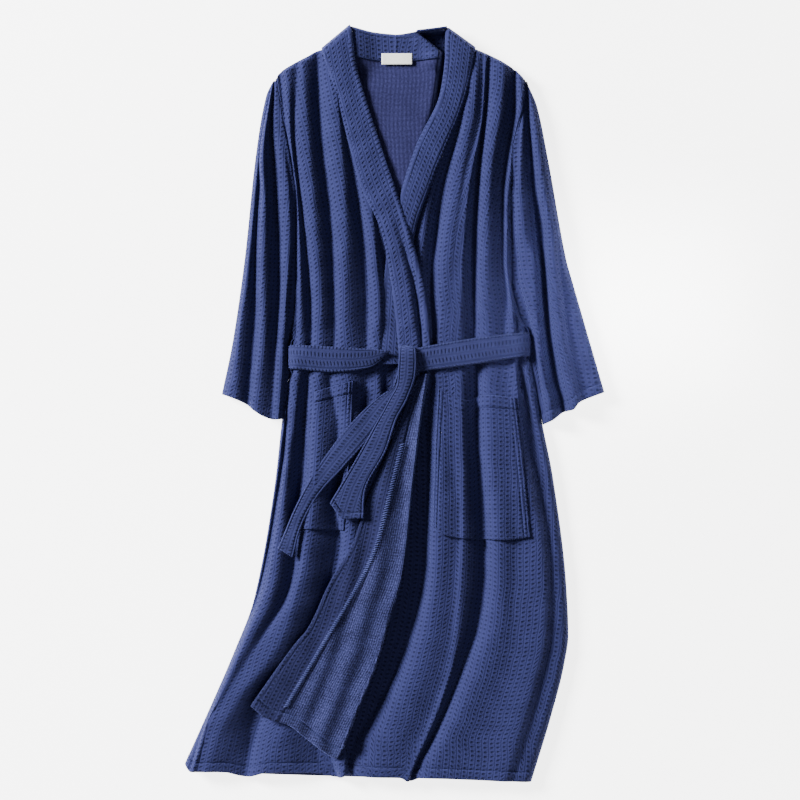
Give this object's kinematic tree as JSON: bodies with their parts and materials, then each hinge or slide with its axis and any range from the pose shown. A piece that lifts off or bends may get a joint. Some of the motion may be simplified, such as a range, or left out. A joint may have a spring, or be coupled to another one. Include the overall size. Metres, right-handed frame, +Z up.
{
  "type": "bathrobe",
  "caption": "Knee-length wrap bathrobe of waffle cloth, laid flat, with a band collar, three-quarter sleeves, patch pockets and a tied belt.",
  "frame": {"origin": "middle of the robe's footprint, on the surface that it lies on", "axes": "+Y from the hem towards the collar, +X towards the wearer's left, +Z up out of the surface, out of the robe's front"},
  "size_m": [0.6321, 1.1362, 0.048],
  "materials": {
    "waffle_cloth": "matte navy waffle weave",
    "waffle_wrong_side": "matte navy, smoother wrong side of the waffle weave",
    "belt_cloth": "matte navy waffle weave, edge-stitched",
    "label_tape": "smooth white woven tape"
  },
  "bodies": {
    "robe": {"back_panel": "waffle_cloth", "front_panel_right": "waffle_cloth", "front_panel_left": "waffle_cloth", "front_fold_edge": "waffle_wrong_side", "collar_band_right": "waffle_cloth", "collar_band_left": "waffle_cloth", "neck_label": "label_tape", "sleeve_right_upper": "waffle_cloth", "sleeve_left_upper": "waffle_cloth", "pocket_right": "waffle_cloth", "pocket_left": "waffle_cloth", "belt_wrap": "belt_cloth", "belt_knot": "belt_cloth", "belt_loop_right": "belt_cloth", "belt_loop_left": "belt_cloth", "collar_band_folded": "waffle_wrong_side"},
    "sleeve_right": {"sleeve_right_lower": "waffle_cloth"},
    "sleeve_left": {"sleeve_left_lower": "waffle_cloth"},
    "turned_front": {"front_turn_back": "waffle_wrong_side", "collar_band_turned": "waffle_wrong_side"},
    "belt_end_over": {"belt_tail_over": "belt_cloth"},
    "belt_end_under": {"belt_tail_under": "belt_cloth"}
  },
  "joints": [
    {"name": "right_sleeve_swing", "type": "hinge", "parent": "robe", "child": "sleeve_right", "pos_m": [-0.188, 0.235, 0.012], "axis": [0, 0, 1], "range_deg": [-40, 0]},
    {"name": "left_sleeve_swing", "type": "hinge", "parent": "robe", "child": "sleeve_left", "pos_m": [0.219, 0.235, 0.012], "axis": [0, 0, 1], "range_deg": [0, 40]},
    {"name": "front_edge_fold", "type": "hinge", "parent": "robe", "child": "turned_front", "pos_m": [-0.0685, -0.356, 0.0365], "axis": [0.0388, 0.9992, 0], "range_deg": [0, 160]},
    {"name": "belt_end_over_swing", "type": "hinge", "parent": "robe", "child": "belt_end_over", "pos_m": [0.014, 0.068, 0.0385], "axis": [0, 0, 1], "range_deg": [-30, 10]},
    {"name": "belt_end_under_swing", "type": "hinge", "parent": "robe", "child": "belt_end_under", "pos_m": [0.014, 0.068, 0.0335], "axis": [0, 0, 1], "range_deg": [-30, 0]}
  ]
}
